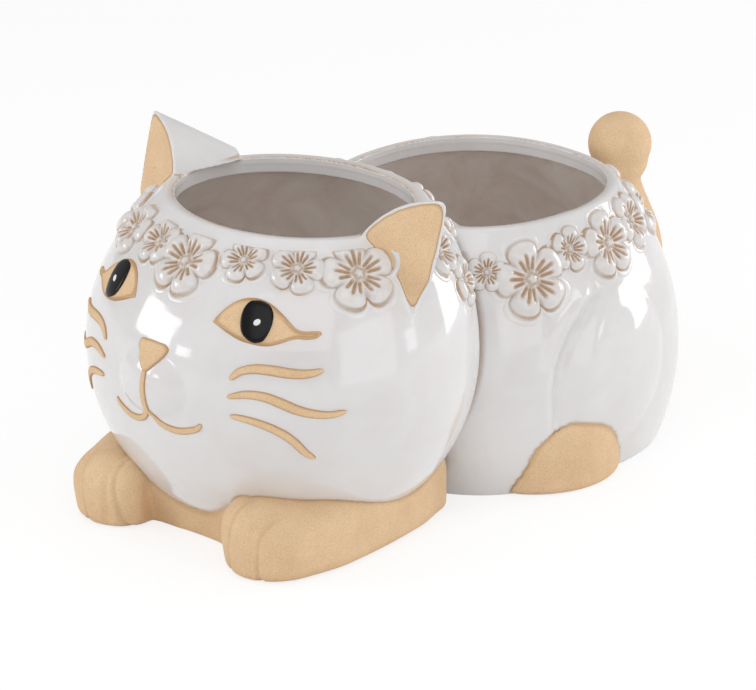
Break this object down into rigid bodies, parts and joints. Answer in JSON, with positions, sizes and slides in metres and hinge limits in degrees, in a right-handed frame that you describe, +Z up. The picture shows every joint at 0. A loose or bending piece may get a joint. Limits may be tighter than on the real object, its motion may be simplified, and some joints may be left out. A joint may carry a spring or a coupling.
{
  "type": "planter",
  "caption": "Cat-shaped planter of a round head pot and a rump pot that nests behind it, each open at the top for a plant, with a plugged drain hole in the floor.",
  "frame": {"origin": "on the ground, under the middle of the bounding box of the two nested pots", "axes": "+Z up; the cat faces -Y, its tail is towards +Y, and its left side is +X"},
  "size_m": [0.164, 0.298, 0.1463],
  "materials": {
    "white_glaze": "glossy",
    "bare_clay": "matte",
    "black_enamel": "glossy",
    "white_enamel": "glossy",
    "silicone": "matte"
  },
  "bodies": {
    "front_pot": {"head_bowl": "white_glaze", "left_ear": "white_glaze", "right_ear": "white_glaze", "chest": "bare_clay", "left_foreleg": "bare_clay", "right_foreleg": "bare_clay", "nose": "bare_clay", "mouth": "bare_clay", "left_eye": "bare_clay", "right_eye": "bare_clay", "left_pupil": "black_enamel", "right_pupil": "black_enamel", "left_glint": "white_enamel", "right_glint": "white_enamel", "left_whiskers": "bare_clay", "right_whiskers": "bare_clay", "head_wreath": "white_glaze"},
    "rear_pot": {"rump_bowl": "white_glaze", "left_hind_foot": "bare_clay", "right_hind_foot": "bare_clay", "tail": "bare_clay", "rump_wreath": "white_glaze"},
    "front_plug": {"front_drain_plug": "silicone"},
    "rear_plug": {"rear_drain_plug": "silicone"}
  },
  "joints": [
    {"name": "rear_pot_slide", "type": "slide", "parent": "front_pot", "child": "rear_pot", "axis": [0, 1, 0], "range_m": [0, 0.15]},
    {"name": "front_plug_pull", "type": "slide", "parent": "front_pot", "child": "front_plug", "axis": [0, 0, 1], "range_m": [0, 0.12]},
    {"name": "rear_plug_pull", "type": "slide", "parent": "rear_pot", "child": "rear_plug", "axis": [0, 0, 1], "range_m": [0, 0.1]}
  ]
}
